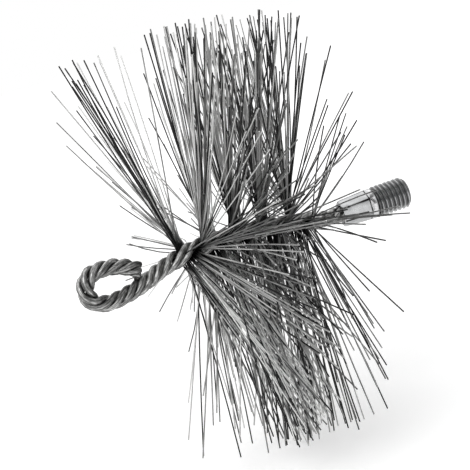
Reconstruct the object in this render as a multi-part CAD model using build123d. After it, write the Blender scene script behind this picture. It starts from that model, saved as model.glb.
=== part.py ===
from build123d import *
from build123d.topology import SkipClean
import math
import os
import random

# Chimney sweep brush: four steel wires twisted into one stem, with an eye bent into one end,
# bristles gripped between the two wire pairs and a threaded ferrule crimped on the other end.
# Millimetres. The origin is on the ferrule's axis at the foot of the thread, where a rod's
# coupling stops. +X runs out along the thread, +Z is up, and the stem runs back to the eye.

# Stem wires and their lay
wire_diameter = 2.25
wire_gap = 0.13
ferrule_lay = 18.3
grip_lay = 23.7
neck_lay = 16.3
eye_lay = 19.4
lay_change = 7.5
wire_seat = 10.5
wire_count = 4

# Stem line, measured from the ferrule's mouth to the neck of the eye
stem_length = 83.0
# Each bend: its share of the stem, then its rise and its swing to the front, in degrees
stem_bend_shares = [
    (0.12, 13.2, 14.1),
    (0.26, -3.0, 0.0),
    (0.23, -5.3, 0.0),
    (0.18, -9.8, 0.0),
    (0.21, -12.7, 0.0),
]

# Eye
eye_branch = 15.3
eye_branch_rise = 15.6
eye_foot = 6.5
eye_foot_rise = 27.8
eye_bend_radius = 5.75
eye_bend_rise = 150.7
eye_crown = 13.4
eye_crown_rise = 34.6
eye_longest_return = 32.0
# In its tight bend the rope of wires grows and spreads sideways by these shares
bend_growth_share = 0.1
bend_spread_share = 0.3
bend_reach = 3.2
tuck_gap = 0.05
weld_radius = 1.8

# Bristles
bristle_reach = 80.5
bristle_reach_spread = 1.8
bristle_width = 0.38
layer_gap = 0.5
bristle_gap = 0.08
bristle_start = 13.5
bristled_length = 55.5
core_gap = 0.3
slice_gap = 0.1
exit_gap = 0.5
crossing_gap = 0.04
bristle_node_count = 10
rows_per_node = 10
upright_share = 0.36
# Each mean lean towards the ferrule, in degrees: its share of the bristled length, the lean of
# the whole ring, what the upper side adds and what the front adds
lean_shares = [
    (0.0, 1.0, -8.6, -14.7),
    (0.25, 1.3, 2.2, -20.7),
    (0.5, 3.1, -0.9, -25.0),
    (0.75, 7.1, 0.0, -13.0),
    (0.9, 7.2, 5.1, -5.7),
    (1.0, 6.3, -10.0, -3.2),
]
lean_spread = 3.4
swing_spread = 6.7
bristle_seed = 7
most_tries = 2000
# The two layers' bristles are staggered by this share of a row
layer_stagger = 0.25

# Ferrule
thread_diameter = 12.0
thread_pitch = 1.75
thread_length = 13.2
thread_chamfer = 1.3
foot_relief = 0.15
body_length = 13.8
ferrule_wall = 2.6
crimp_wall = 1.35
crimp_corner = 0.6
crimp_taper = 3.0
crimp_length = 10.8
crimp_slope = 30.0
crimp_sides = 6
bore_clearance = 0.1
bore_floor_gap = 0.8
mouth_wall = 0.6
mouth_depth = 2.4
mouth_round = 0.4
shoulder_slope = 45.0

# Every cut runs past its faces by this much
overrun = 1.0

# Steps of the sampled checks and searches
sample_step = 0.4
arc_samples = 10
search_rounds = 40
quarter_turn = 90.0
full_turn = 360.0
thread_sectors = 8
flank_angle = 30.0
# Share of the sharp thread form's height that is cut, as on ISO metric threads
thread_form_share = 5 / 8


def unit(vector):
    return vector.normalized()


def blend(share):
    """Smooth step from 0 to 1."""
    held = min(max(share, 0.0), 1.0)
    return held * held * (3.0 - 2.0 * held)


def solve_falling(measure, low, high):
    """Value between low and high where a falling measure reaches zero."""
    for _ in range(search_rounds):
        middle = (low + high) / 2
        if measure(middle) > 0:
            low = middle
        else:
            high = middle
    return (low + high) / 2


def helix_distance(radius, phase, lay):
    """Least distance between the centre lines of two helices a phase apart, in radians."""
    rate = 2 * math.pi / lay
    slide = 0.0
    for _ in range(search_rounds):
        slide = radius * radius * rate * math.sin(phase - rate * slide)
    chord = 2 * radius * radius * (1 - math.cos(phase - rate * slide))
    return math.sqrt(chord + slide * slide)


def bare_radius(lay):
    """Radius of the wires' centres where nothing is gripped and all four touch their neighbours."""
    wanted = wire_diameter + wire_gap

    def short(radius):
        return wanted - helix_distance(radius, math.pi / 2, lay)

    return solve_falling(short, wire_diameter / 2, wire_diameter * 2)


# Two layers of bristles lie in the grip, one each side of its middle
layer_offset = (bristle_width + layer_gap) / 2
grip_half_gap = layer_offset + bristle_width / 2 + bristle_gap


def grip_places():
    """Radius of the gripping wires' centres and their angle off the grip's normal, in radians."""
    wanted = wire_diameter + wire_gap
    spread = wire_diameter / 2
    lift = wire_diameter / 2 + grip_half_gap
    for _ in range(search_rounds):
        radius = math.hypot(spread, lift)
        slope = math.atan(2 * math.pi * radius / grip_lay)
        tilt = math.sin(slope) * spread / radius
        lift = (wire_diameter / 2 + grip_half_gap) * math.hypot(math.cos(slope), tilt) / math.cos(slope)
        spread *= wanted / helix_distance(radius, 2 * math.atan(spread / lift), grip_lay)
    return math.hypot(spread, lift), math.atan(spread / lift)


grip_radius, grip_angle = grip_places()
bare_angle = math.pi / 4
rope_radius = bare_radius(ferrule_lay) + wire_diameter / 2
neck_radius = bare_radius(neck_lay) + wire_diameter / 2
eye_rope_radius = bare_radius(eye_lay) + wire_diameter / 2
core_radius = grip_radius - wire_diameter / 2 - core_gap
exit_radius = grip_radius + wire_diameter / 2 + exit_gap


first_bristle = wire_seat + bristle_start
last_bristle = first_bristle + bristled_length
neck_station = wire_seat + stem_length
eye_bend = eye_bend_radius * math.radians(eye_bend_rise)
longest_line = neck_station + eye_branch + eye_foot + eye_bend + eye_crown + eye_longest_return


def lay_knots():
    """Stations with the turns per millimetre of the lay there."""
    return [
        (0.0, 1 / ferrule_lay),
        (first_bristle - lay_change, 1 / ferrule_lay),
        (first_bristle, 1 / grip_lay),
        (last_bristle, 1 / grip_lay),
        (last_bristle + lay_change, 1 / neck_lay),
        (neck_station, 1 / neck_lay),
        (neck_station + eye_branch, 1 / eye_lay),
        (longest_line, 1 / eye_lay),
    ]


def lay_turns(station):
    """Turns that the lay has made at a station."""
    turns = 0.0
    knots = lay_knots()
    for (low, low_rate), (high, high_rate) in zip(knots, knots[1:]):
        covered = min(max(station - low, 0.0), high - low)
        end_rate = low_rate + (high_rate - low_rate) * covered / (high - low)
        turns += covered * (low_rate + end_rate) / 2
    return turns


def lay_at(station):
    """Lay length at a station."""
    knots = lay_knots()
    for (low, low_rate), (high, high_rate) in zip(knots, knots[1:]):
        if station <= high:
            share = (station - low) / (high - low)
            return 1 / (low_rate + (high_rate - low_rate) * share)
    return eye_lay


def grip_share(station):
    """0 where the stem is bare, 1 where bristles are gripped."""
    opened = blend((station - first_bristle + lay_change) / lay_change)
    closed = blend((last_bristle + lay_change - station) / lay_change)
    return min(opened, closed)


def centre_radius_at(station):
    """Distance of the wires' centres from the stem line."""
    bare = bare_radius(lay_at(station))
    return bare + (grip_radius - bare) * grip_share(station)


def rope_radius_at(station):
    """Outer radius of the twisted wires."""
    return centre_radius_at(station) + wire_diameter / 2


def neck_samples():
    """Stations from the foot of the eye down the stem, where its tucked end may meet it."""
    count = int((eye_branch + stem_length / 2) / sample_step)
    return [neck_station + eye_branch - number * sample_step for number in range(count)]


class StemLine:
    """Bent centre line of the stem, made of arcs, with a frame that turns only with the bends."""

    def __init__(self):
        self.stretches = []
        self.length = 0.0
        start = -(body_length - wire_seat)
        self.place = (Vector(start, 0, 0), Vector(-1, 0, 0), Vector(0, 0, 1), Vector(0, 1, 0))

    def run(self, length, rise=0.0, swing=0.0):
        """Add a stretch that turns by these angles, in degrees, over its length."""
        turn = math.radians(math.hypot(rise, swing))
        origin, ahead, upper, side = self.place
        inward = upper
        if turn > 0:
            inward = unit(upper * rise - side * swing)
        self.stretches.append((self.length, length, turn, inward, self.place))
        self.length += length
        self.place = self.at(self.length)

    def at(self, station):
        """Point, direction, upper side and far side of the line at a distance along it."""
        found = self.stretches[0]
        for stretch in self.stretches:
            if stretch[0] <= station:
                found = stretch
        begin, length, turn, inward, place = found
        origin, ahead, upper, side = place
        along = station - begin
        if turn == 0:
            return origin + ahead * along, ahead, upper, side
        bend = turn * along / length
        radius = length / turn
        point = origin + ahead * (radius * math.sin(bend)) + inward * (radius * (1 - math.cos(bend)))

        def turned(vector):
            forward = vector.dot(ahead)
            across = vector.dot(inward)
            kept = vector - ahead * forward - inward * across
            new_ahead = ahead * math.cos(bend) + inward * math.sin(bend)
            new_inward = inward * math.cos(bend) - ahead * math.sin(bend)
            return kept + new_ahead * forward + new_inward * across

        return point, turned(ahead), turned(upper), turned(side)

    def bend_at(self, station):
        """Mean bend about a station, 1 where it is as tight as the eye's bend."""
        low = station - bend_reach
        high = station + bend_reach
        turned = 0.0
        for begin, length, turn, inward, place in self.stretches:
            covered = min(high, begin + length) - max(low, begin)
            turned += turn * max(covered, 0.0) / length
        return turned * eye_bend_radius / (high - low)


def make_stem_line():
    """The line from the wires' seat in the ferrule round the eye to the tucked end."""
    line = StemLine()
    line.run(wire_seat)
    for share, rise, swing in stem_bend_shares:
        line.run(stem_length * share, rise, swing)
    line.run(eye_branch, eye_branch_rise)
    line.run(eye_foot, eye_foot_rise)
    line.run(eye_bend, eye_bend_rise)
    line.run(eye_crown, eye_crown_rise)
    return_start = line.length
    line.run(eye_longest_return)
    neck = [
        (line.at(station)[0], rope_radius_at(station))
        for station in neck_samples()
    ]

    def room(length):
        point, ahead, upper, side = line.at(return_start + length)
        corner = point + upper * eye_rope_radius
        return min((corner - other).length - radius for other, radius in neck) - tuck_gap

    reached = first_falling_zero(room, eye_longest_return)
    line.length = return_start + reached
    return line


def first_falling_zero(measure, longest):
    """First length at which the measure falls to zero."""
    step = longest / search_rounds
    length = step
    while length < longest and measure(length) > 0:
        length += step
    return solve_falling(measure, length - step, length)


stem_line = make_stem_line()


upright_station = first_bristle + bristled_length * upright_share


def ruling_angle(station):
    """Angle of the grip's ruling from the far side towards the upper side, in radians."""
    return math.pi / 2 + 2 * math.pi * (lay_turns(station) - lay_turns(upright_station))


def wire_offset(index, station):
    """Radius and angle of one wire's centre about the stem line."""
    off_normal = bare_angle + (grip_angle - bare_angle) * grip_share(station)
    pair = math.pi / 2 if index < 2 else -math.pi / 2
    sign = 1 if index % 2 == 0 else -1
    return centre_radius_at(station), ruling_angle(station) + pair + sign * off_normal


def wire_point(index, station):
    """Centre of one wire at a station of the stem line."""
    point, ahead, upper, side = stem_line.at(station)
    radius, angle = wire_offset(index, station)
    bend = stem_line.bend_at(station) * (1 - grip_share(station))
    grown = radius * (1 + bend_growth_share * bend)
    spread = grown * (1 + bend_spread_share * bend)
    return point + side * (spread * math.cos(angle)) + upper * (grown * math.sin(angle))


def wire_tangent(index, station):
    """Direction of one wire at a station."""
    nudge = sample_step / 10
    behind = max(station - nudge, 0.0)
    return unit(wire_point(index, station + nudge) - wire_point(index, behind))


def biarc_edges(start, start_way, end, end_way):
    """Two arcs from start to end that keep both directions."""
    chord = end - start
    ways = start_way + end_way
    spread = 2 * (1 - start_way.dot(end_way))
    along = chord.dot(ways)
    reach = (math.sqrt(along * along + spread * chord.dot(chord)) - along) / spread
    joint = (start + end + (start_way - end_way) * reach) / 2
    joint_way = unit((end - end_way * reach) - (start + start_way * reach))
    first = Edge.make_tangent_arc(start, start_way, joint)
    second = Edge.make_tangent_arc(joint, joint_way, end)
    return [first, second]


def quarter_stations():
    """Stations a quarter turn of the lay apart, from one end of the stem line to the other."""
    total = lay_turns(stem_line.length)
    count = math.ceil(total * full_turn / quarter_turn)
    stations = []
    for number in range(count + 1):
        wanted = total * number / count

        def missing(station):
            return wanted - lay_turns(station)

        stations.append(solve_falling(missing, 0.0, stem_line.length))
    return stations


def wire_arcs(index):
    """The arcs that one wire is swept along, from the ferrule round the eye to its cut end."""
    stations = quarter_stations()
    arcs = []
    for low, high in zip(stations, stations[1:]):
        arcs += biarc_edges(
            wire_point(index, low),
            wire_tangent(index, low),
            wire_point(index, high),
            wire_tangent(index, high),
        )
    return arcs


def make_stem_wire(arcs):
    """One wire, an unbroken tube along its arcs."""
    path = Wire(arcs)
    section_plane = Plane(origin=path @ 0, z_dir=path % 0)
    section = section_plane * Circle(wire_diameter / 2)
    return sweep(section, path=path)


def arc_points(arcs):
    """Points along the arcs of one wire."""
    points = []
    for arc in arcs:
        for number in range(arc_samples):
            points.append(tuple(arc @ (number / arc_samples)))
    return points


def least_wire_gaps(all_arcs):
    """Least free space between neighbouring wires, and between the tucked end and the stem."""
    lines = [arc_points(arcs) for arcs in all_arcs]
    arcs_in_turn = 2 * round(full_turn / quarter_turn)
    window = arcs_in_turn * arc_samples // 2
    least = math.inf
    for first, line in enumerate(lines):
        for other_line in lines[first + 1:]:
            for number, point in enumerate(line):
                near = other_line[max(number - window, 0):number + window]
                least = min(least, min(math.dist(point, other) for other in near))
    tail = window
    stem_points = int(len(lines[0]) * neck_station / stem_line.length)
    tucked = math.inf
    for line in lines:
        for other_line in lines:
            for point in line[-tail:]:
                stem_part = other_line[:stem_points]
                tucked = min(tucked, min(math.dist(point, other) for other in stem_part))
    return least - wire_diameter, tucked - wire_diameter


def lean_at(station, above, ahead_of_stem):
    """Mean lean towards the ferrule of the bristles on one side of the stem, in degrees."""
    share = (station - first_bristle) / bristled_length
    for low, high in zip(lean_shares, lean_shares[1:]):
        if share <= high[0]:
            break
    part = (share - low[0]) / (high[0] - low[0])
    ring, upper_part, front_part = [a + (b - a) * part for a, b in zip(low[1:], high[1:])]
    return ring + upper_part * above + front_part * ahead_of_stem


def segment_distance(first, second):
    """Least distance between two straight segments, each a pair of points."""
    p, q = first
    r, s = second
    d1 = q - p
    d2 = s - r
    w = p - r
    a = d1.dot(d1)
    e = d2.dot(d2)
    f = d2.dot(w)
    c = d1.dot(w)
    b = d1.dot(d2)
    denominator = a * e - b * b
    share = 0.0
    if denominator > 0:
        share = min(max((b * f - c * e) / denominator, 0.0), 1.0)
    other = (b * share + f) / e
    if other < 0:
        other = 0.0
        share = min(max(-c / a, 0.0), 1.0)
    elif other > 1:
        other = 1.0
        share = min(max((b - c) / a, 0.0), 1.0)
    return ((p + d1 * share) - (r + d2 * other)).length


class Bristle:
    """One strand: straight through the grip to its exit, then straight to its tip."""

    def __init__(self, station, layer, sign, draws):
        point, ahead, upper, side = stem_line.at(station)
        angle = ruling_angle(station)
        self.out = (side * math.cos(angle) + upper * math.sin(angle)) * sign
        self.normal = upper * math.cos(angle) - side * math.sin(angle)
        base = point + self.normal * (layer * layer_offset)
        self.root = base + self.out * (core_radius / 2)
        self.exit = base + self.out * exit_radius
        mean_lean = lean_at(station, self.out.dot(upper), -self.out.dot(side))
        lean = math.radians(mean_lean + draws.gauss(0, lean_spread))
        swing = math.radians(draws.gauss(0, swing_spread))
        outward = unit(self.exit - point)
        across = ahead.cross(outward)
        swung = outward * math.cos(swing) + across * math.sin(swing)
        way = swung * math.cos(lean) - ahead * math.sin(lean)
        reach = bristle_reach - exit_radius - abs(draws.gauss(0, bristle_reach_spread))
        self.tip = self.exit + way * reach

    def free_part(self):
        return self.exit, self.tip

    def solid(self):
        """Four sided strand with a mitred bend at its exit."""
        plane = Plane(origin=self.root, x_dir=self.normal, z_dir=self.out)
        section = plane * Rectangle(bristle_width, bristle_width)
        path = Polyline(self.root, self.exit, self.tip)
        return sweep(section, path=path, transition=Transition.RIGHT)


def clears(bristle, others, wanted):
    free = bristle.free_part()
    return all(segment_distance(free, other.free_part()) >= wanted for other in others)


def make_bristles():
    """Every strand, in rows along the stem, each drawn again until it crosses no other."""
    draws = random.Random(bristle_seed)
    wanted = bristle_width * math.sqrt(2) + crossing_gap
    rows = bristle_node_count * rows_per_node
    made = []
    groups = [[] for _ in range(bristle_node_count)]
    for row in range(rows):
        for layer in (-1, 1):
            share = (row + 0.5 + layer * layer_stagger) / rows
            station = first_bristle + bristled_length * share
            for sign in (-1, 1):
                bristle = Bristle(station, layer, sign, draws)
                tries = 1
                while not clears(bristle, made, wanted):
                    bristle = Bristle(station, layer, sign, draws)
                    tries += 1
                    if tries > most_tries:
                        raise ValueError("no free place for a bristle")
                made.append(bristle)
                groups[row // rows_per_node].append(bristle)
    return groups


def make_bristle_node(number, bristles):
    """The gripped middles of one slice of the bristles, with its strands fused to them."""
    slice_length = bristled_length / bristle_node_count
    middle = first_bristle + slice_length * (number + 0.5)
    point, ahead, upper, side = stem_line.at(middle)
    length = slice_length - slice_gap
    plane = Plane(origin=point - ahead * (length / 2), x_dir=upper, z_dir=ahead)
    core = Solid.make_cylinder(core_radius, length, plane)
    strands = [bristle.solid() for bristle in bristles]
    return core.fuse(*strands)


def least_bristle_gap(groups):
    """Least free space between any two strands outside the grip."""
    strands = [bristle for group in groups for bristle in group]
    least = math.inf
    for number, bristle in enumerate(strands):
        for other in strands[number + 1:]:
            least = min(least, segment_distance(bristle.free_part(), other.free_part()))
    return least - bristle_width * math.sqrt(2)


# Ferrule sizes that follow the wires in it
thread_radius = thread_diameter / 2
thread_depth = thread_pitch * math.cos(math.radians(flank_angle)) * thread_form_share
thread_root = thread_radius - thread_depth
foot_radius = thread_root - foot_relief
bore_radius = rope_radius + bore_clearance
body_radius = bore_radius + ferrule_wall
crimp_half_flat = bore_radius + crimp_wall
corner_radius = crimp_half_flat + crimp_corner
mouth_radius = crimp_half_flat - mouth_wall
bore_depth = wire_seat + bore_floor_gap


def revolved(points):
    """Solid turned about the ferrule's axis from its half outline in X and radius."""
    outline = Polyline(*points, close=True)
    return revolve(make_face(outline), axis=Axis.X)


def make_ferrule_body():
    """Round body with its shoulder up to the thread."""
    shoulder = (body_radius - foot_radius) / math.tan(math.radians(shoulder_slope))
    return revolved([
        (-body_length, 0),
        (-body_length, corner_radius - mouth_round),
        (-body_length + mouth_round, corner_radius),
        (-body_length + crimp_length, body_radius),
        (-shoulder, body_radius),
        (0, foot_radius),
        (0, 0),
    ])


def make_thread_blank():
    """Plain rod that the thread is rolled on."""
    plane = Plane(origin=(0, 0, 0), z_dir=(1, 0, 0))
    return Solid.make_cylinder(thread_radius, thread_length, plane)


def with_arc_walls(solid):
    """The same solid with its round walls divided into arcs of an eighth of a turn."""
    pieces = [solid]
    planes = thread_sectors // 2
    for number in range(planes):
        angle = math.pi * number / planes
        plane = Plane(origin=(0, 0, 0), x_dir=(1, 0, 0), z_dir=(0, -math.sin(angle), math.cos(angle)))
        halves = []
        for piece in pieces:
            found = piece.split(plane, keep=Keep.BOTH)
            if hasattr(found, "solids"):
                found = [found]
            for shape in found:
                if shape is not None:
                    halves += shape.solids()
        pieces = halves
    return pieces[0].fuse(*pieces[1:], glue=True)


def make_thread_groove():
    """Sixty degree groove along the thread, run out past the end face."""
    start = thread_length + thread_pitch
    travel = thread_length + 2 * thread_pitch
    path = Helix(
        pitch=thread_pitch,
        height=travel,
        radius=thread_radius,
        center=(start, 0, 0),
        direction=(-1, 0, 0),
    )
    outer = thread_radius + thread_depth / 2
    half_root = thread_pitch / 8
    half_outer = half_root + (outer - thread_root) * math.tan(math.radians(flank_angle))
    begin = path @ 0
    outward = unit(Vector(0, begin.Y, begin.Z))
    centre = Vector(begin.X, 0, 0)
    plane = Plane(origin=centre, x_dir=(1, 0, 0), z_dir=Vector(1, 0, 0).cross(outward))
    section = plane * make_face(Polyline(
        (-half_root, thread_root),
        (half_root, thread_root),
        (half_outer, outer),
        (-half_outer, outer),
        close=True,
    ))
    return sweep(section, path=path, is_frenet=True)


def make_end_chamfer():
    """Ring that takes the corner off the threaded end."""
    outer = thread_radius + overrun
    inner = thread_radius - thread_chamfer
    return revolved([
        (thread_length, inner),
        (thread_length + overrun, inner - overrun),
        (thread_length + overrun, outer),
        (thread_length - (outer - inner), outer),
    ])


def make_crimp_cuts():
    """Six flats pressed into the body, deepest at the mouth, each ending in a slope."""
    taper = math.tan(math.radians(crimp_taper))
    near = -body_length - overrun
    far = -body_length + crimp_length
    near_height = crimp_half_flat - overrun * taper
    far_height = crimp_half_flat + crimp_length * taper
    top = body_radius + overrun
    slope_run = (top - far_height) / math.tan(math.radians(crimp_slope))
    outline = Plane.XZ * make_face(Polyline(
        (near, near_height),
        (far, far_height),
        (far + slope_run, top),
        (near, top),
        close=True,
    ))
    flat = extrude(outline, amount=body_radius, both=True)
    turn = full_turn / crimp_sides
    return [flat.rotate(Axis.X, turn * (number + 0.5)) for number in range(crimp_sides)]


def make_bore():
    """Blind bore for the wires, with a wide mouth."""
    floor = -body_length + bore_depth
    narrow = -body_length + mouth_depth
    return revolved([
        (-body_length - overrun, 0),
        (-body_length - overrun, mouth_radius),
        (-body_length, mouth_radius),
        (narrow, bore_radius),
        (floor, bore_radius),
        (floor, 0),
    ])


def make_threaded_ferrule():
    """Crimped steel ferrule with its rolled thread."""
    body = make_ferrule_body() - make_crimp_cuts()
    with SkipClean():
        threaded = with_arc_walls(make_thread_blank() - make_thread_groove())
        threaded = threaded - make_end_chamfer()
        ferrule = threaded + body
        ferrule = ferrule - make_bore()
    return ferrule


def make_tack_weld(wires):
    """Bead where the tucked end of the eye meets the stem."""
    end, ahead, upper, side = stem_line.at(stem_line.length)
    corner = end + upper * eye_rope_radius
    neck = [stem_line.at(station)[0] for station in neck_samples()]
    nearest = min(neck, key=lambda point: (point - corner).length)
    centre = corner + unit(nearest - corner) * (tuck_gap / 2)
    bead = Pos(centre.X, centre.Y, centre.Z) * Sphere(weld_radius)
    return bead - wires


def main():
    os.makedirs("parts", exist_ok=True)
    made = {}
    wires = []
    all_arcs = [wire_arcs(index) for index in range(wire_count)]
    for index, arcs in enumerate(all_arcs):
        wire = make_stem_wire(arcs)
        wires.append(wire)
        made["stem_wire_%d" % (index + 1)] = wire
    made["threaded_ferrule"] = make_threaded_ferrule()
    made["eye_tack_weld"] = make_tack_weld(wires)
    groups = make_bristles()
    for number, group in enumerate(groups):
        made["bristles_%02d" % (number + 1)] = make_bristle_node(number, group)
    for name, shape in made.items():
        export_step(shape, "parts/%s.step" % name)
    wire_space, tuck_space = least_wire_gaps(all_arcs)
    print("least gap between wires %.3f mm" % wire_space)
    print("least gap between the tucked end and the stem %.3f mm" % tuck_space)
    print("least gap between bristles %.3f mm" % least_bristle_gap(groups))
    print("bristle strands %d" % sum(len(group) for group in groups))
    print("stem radius at the neck %.2f mm" % neck_radius)
    print("stem radius in the grip %.2f mm" % (grip_radius + wire_diameter / 2))
    print("stem radius in the eye %.2f mm" % eye_rope_radius)


main()
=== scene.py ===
"""Looks of the chimney sweep brush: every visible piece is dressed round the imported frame.

Sizes are in millimetres in the classes and become metres as the meshes are made. The origin is
on the ferrule's axis at the foot of its thread, +X runs out along the thread and +Z is up.
"""

from __future__ import annotations

import logging
import math
import random
from collections.abc import Iterable, Iterator
from contextlib import contextmanager
from dataclasses import dataclass, field
from enum import Enum

import bmesh
import bpy
from bpy.types import Material, Node, NodeOutputs, NodeSocket, NodeTree, Object
from mathutils import Matrix, Vector
from mathutils.kdtree import KDTree

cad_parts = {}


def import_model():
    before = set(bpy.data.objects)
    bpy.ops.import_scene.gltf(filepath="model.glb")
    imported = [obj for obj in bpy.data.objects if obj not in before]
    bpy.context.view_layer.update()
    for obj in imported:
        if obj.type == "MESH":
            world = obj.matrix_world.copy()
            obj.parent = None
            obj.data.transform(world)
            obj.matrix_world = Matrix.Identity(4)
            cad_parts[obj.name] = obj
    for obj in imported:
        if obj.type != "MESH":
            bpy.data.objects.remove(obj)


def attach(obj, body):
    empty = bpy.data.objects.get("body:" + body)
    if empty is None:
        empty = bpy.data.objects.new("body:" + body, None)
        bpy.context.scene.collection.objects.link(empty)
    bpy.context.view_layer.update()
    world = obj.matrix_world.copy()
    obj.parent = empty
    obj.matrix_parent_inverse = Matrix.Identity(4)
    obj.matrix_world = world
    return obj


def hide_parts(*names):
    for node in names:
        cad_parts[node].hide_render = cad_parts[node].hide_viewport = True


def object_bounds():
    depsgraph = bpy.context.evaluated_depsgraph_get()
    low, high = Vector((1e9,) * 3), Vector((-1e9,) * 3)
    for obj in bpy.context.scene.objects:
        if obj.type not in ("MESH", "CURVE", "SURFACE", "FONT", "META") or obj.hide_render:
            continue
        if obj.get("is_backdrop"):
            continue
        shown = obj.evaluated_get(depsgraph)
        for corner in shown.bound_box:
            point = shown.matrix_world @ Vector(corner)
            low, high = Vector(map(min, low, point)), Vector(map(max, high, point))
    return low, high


MM = 0.001
TINY = 1e-6
LOG = logging.getLogger("chimney_sweep_brush")

# Exit from the grip and tip of each strand, in millimetres
Places = list[tuple[Vector, Vector]]


class Slot(Enum):
    """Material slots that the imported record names."""

    STEM = "stem_steel"
    BRISTLE = "bristle_steel"
    FERRULE = "ferrule_steel"
    WELD = "weld_steel"


def linear(hex_colour: str) -> tuple[float, float, float, float]:
    """Turn an sRGB hex colour into linear red, green, blue and alpha.

    Args:
        hex_colour: the colour as #RRGGBB.

    Returns:
        Four linear channels, the last one 1.
    """
    values = [int(hex_colour[place : place + 2], 16) / 255 for place in (1, 3, 5)]
    red, green, blue = [
        value / 12.92 if value <= 0.04045 else ((value + 0.055) / 1.055) ** 2.4
        for value in values
    ]
    return red, green, blue, 1.0


def fill_node(tree: NodeTree, node: Node, values: dict) -> Node:
    """Set and link the inputs of a shader node.

    Args:
        tree: the node tree that holds the node.
        node: the node.
        values: by input name or number, or by property name: a plain value, a colour as
            #RRGGBB, an output socket, or a node, whose first output in use is taken.

    Returns:
        The same node.
    """
    for key, value in values.items():
        if isinstance(value, Node):
            value = next(output for output in value.outputs if output.enabled)
        if isinstance(value, NodeSocket):
            tree.links.new(value, node.inputs[key])
        elif isinstance(key, str) and key not in node.inputs:
            setattr(node, key, value)
        else:
            is_colour = isinstance(value, str)
            node.inputs[key].default_value = linear(value) if is_colour else value
    return node


def add_node(tree: NodeTree, kind: str, values: dict) -> Node:
    """Add a shader node, named without its ShaderNode prefix, and fill it in as above."""
    return fill_node(tree, tree.nodes.new("ShaderNode" + kind), values)


def limits(inner: tuple, outer: tuple = (0.0, 1.0)) -> dict:
    """Settings of a map range that takes values between two limits to two others."""
    return dict(zip(("From Min", "From Max", "To Min", "To Max"), inner + outer))


def blank_material(name: str) -> tuple[Material, NodeTree, Node]:
    """Make a material that holds only its shader and output.

    Args:
        name: the material's name.

    Returns:
        The material, its node tree and its Principled BSDF node.
    """
    material = bpy.data.materials.new(name)
    material.use_nodes = True
    tree = material.node_tree
    return material, tree, tree.nodes["Principled BSDF"]


def smooth_step(share: float) -> float:
    """Smooth step from 0 to 1."""
    held = min(max(share, 0.0), 1.0)
    return held * held * (3.0 - 2.0 * held)


def deselect() -> None:
    """Leave edit mode and deselect every object."""
    if bpy.context.object and bpy.context.object.mode != "OBJECT":
        bpy.ops.object.mode_set(mode="OBJECT")
    bpy.ops.object.select_all(action="DESELECT")


def take(piece: Object) -> None:
    """Make a piece the only selected and the active one.

    Args:
        piece: the piece that the next operator acts on.
    """
    deselect()
    piece.select_set(True)
    bpy.context.view_layer.objects.active = piece


def settle(piece: Object) -> None:
    """Move a piece's place into its mesh, so that its object sits at the origin."""
    take(piece)
    bpy.ops.object.transform_apply(location=True, rotation=True, scale=True)


@contextmanager
def editing(piece: Object) -> Iterator[None]:
    """Edit a piece with its whole mesh selected, and leave edit mode afterwards.

    Args:
        piece: the piece to edit.

    Yields:
        Nothing, in edit mode.
    """
    take(piece)
    bpy.ops.object.mode_set(mode="EDIT")
    bpy.ops.mesh.select_all(action="SELECT")
    yield
    bpy.ops.object.mode_set(mode="OBJECT")


def apply_modifier(piece: Object, kind: str, settings: dict) -> None:
    """Add a modifier with its settings and apply it.

    Args:
        piece: the piece to shape.
        kind: the modifier's type name.
        settings: the modifier's properties by name.
    """
    take(piece)
    modifier = piece.modifiers.new(kind.lower(), kind)
    for key, value in settings.items():
        setattr(modifier, key, value)
    bpy.ops.object.modifier_apply(modifier=modifier.name)


def roughen(piece: Object, size: float, strength: float) -> None:
    """Push a piece's surface in and out by soft clouds.

    Args:
        piece: the piece to shape.
        size: the clouds' size, in millimetres.
        strength: how far they move the surface, in millimetres.
    """
    clouds = bpy.data.textures.new("relief", "CLOUDS")
    clouds.noise_scale = size * MM
    settings = {"texture": clouds, "texture_coords": "LOCAL", "strength": strength * MM}
    apply_modifier(piece, "DISPLACE", settings)


def smooth_by_angle(piece: Object, degrees: float) -> None:
    """Shade a piece smooth, but for edges sharper than an angle in degrees."""
    take(piece)
    bpy.ops.object.shade_smooth_by_angle(angle=math.radians(degrees))


def add_object(name: str, data: bpy.types.ID) -> Object:
    """Put a mesh, curve, lamp or camera into the scene.

    Args:
        name: the new object's name.
        data: what it holds.

    Returns:
        The object.
    """
    added = bpy.data.objects.new(name, data)
    bpy.context.scene.collection.objects.link(added)
    return added


def add_rod(name: str, sides: int, radius: float, length: float) -> Object:
    """Model a closed rod along +X from the origin.

    Args:
        name: the rod's name.
        sides: how many sides it has.
        radius: its radius, in the mesh's own units, as its length.
        length: its length.

    Returns:
        The rod.
    """
    deselect()
    place, turn = (length / 2, 0, 0), (0, math.pi / 2, 0)
    bpy.ops.mesh.primitive_cylinder_add(
        vertices=sides, radius=radius, depth=length, location=place, rotation=turn
    )
    rod = bpy.context.object
    rod.name = name
    settle(rod)
    return rod


def finish_piece(piece: Object, material: Material, nodes: Iterable[str]) -> None:
    """Dress a piece and tie it to the frame.

    Args:
        piece: the finished piece.
        material: its only material.
        nodes: the CAD nodes that it stands for.
    """
    piece.data.materials.clear()
    piece.data.materials.append(material)
    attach(piece, "root")
    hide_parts(*nodes)
    faces = len(piece.data.polygons)
    LOG.info("%s: %d faces, stands for %s", piece.name, faces, ", ".join(nodes))


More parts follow.
